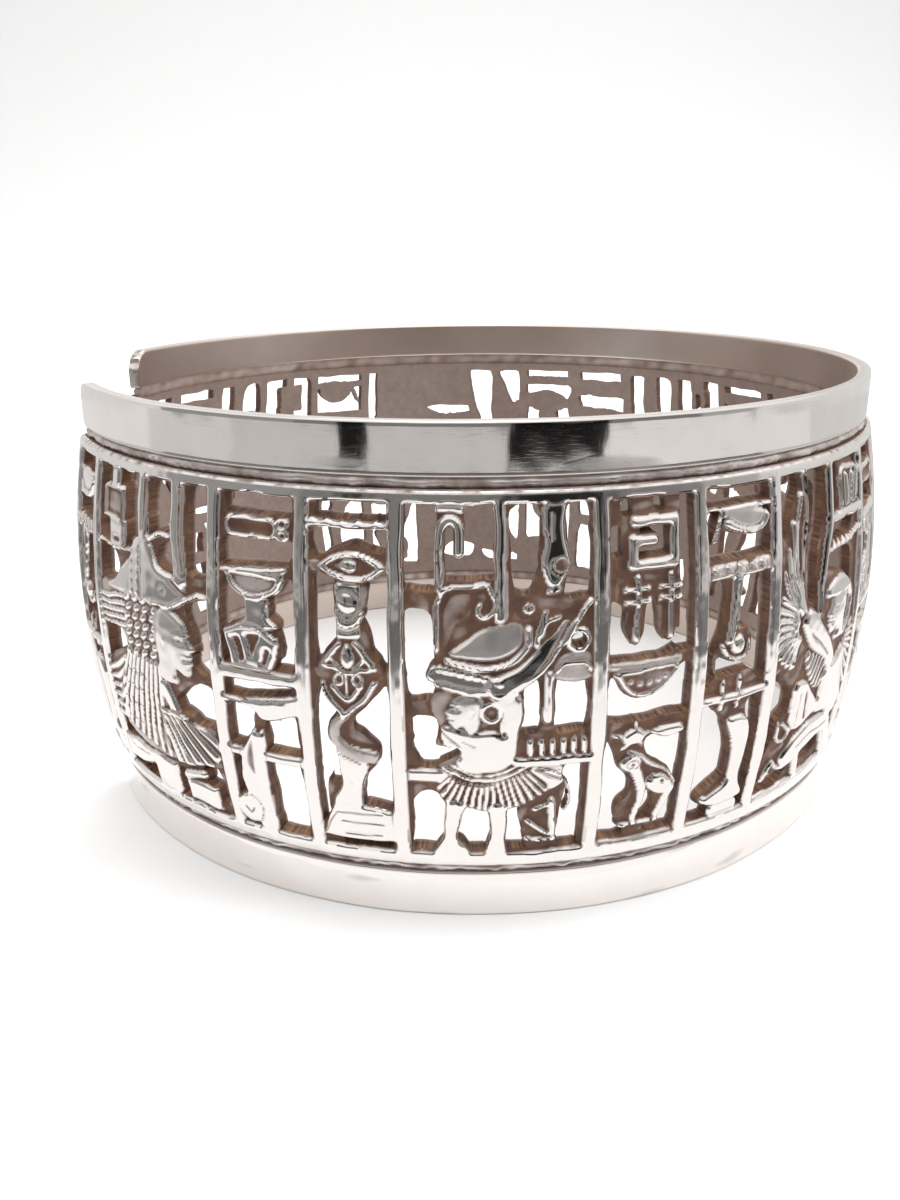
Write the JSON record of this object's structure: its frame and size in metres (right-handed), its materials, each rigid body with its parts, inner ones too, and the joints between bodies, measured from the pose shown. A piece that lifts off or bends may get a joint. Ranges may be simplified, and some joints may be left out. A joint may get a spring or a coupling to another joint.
{
  "type": "silver cuff bracelet",
  "caption": "Wide open cuff bracelet: a barrel-shaped band of cast and pierced old Egyptian signs between two plain polished strips, with a gap between its rounded ends.",
  "frame": {"origin": "middle of the cuff's outer box at the level of its lower rim, on the surface that it stands on", "axes": "+Z along the wrist hole from the lower rim to the upper rim, -X out of the gap between the two ends, +Y along the cuff's widest side-to-side size"},
  "size_m": [0.0656, 0.0672, 0.0332],
  "materials": {
    "silver": "polished sterling silver with fine scratches, brown tarnish in the openings and recesses"
  },
  "bodies": {
    "root": {"cuff": "silver"}
  },
  "joints": []
}
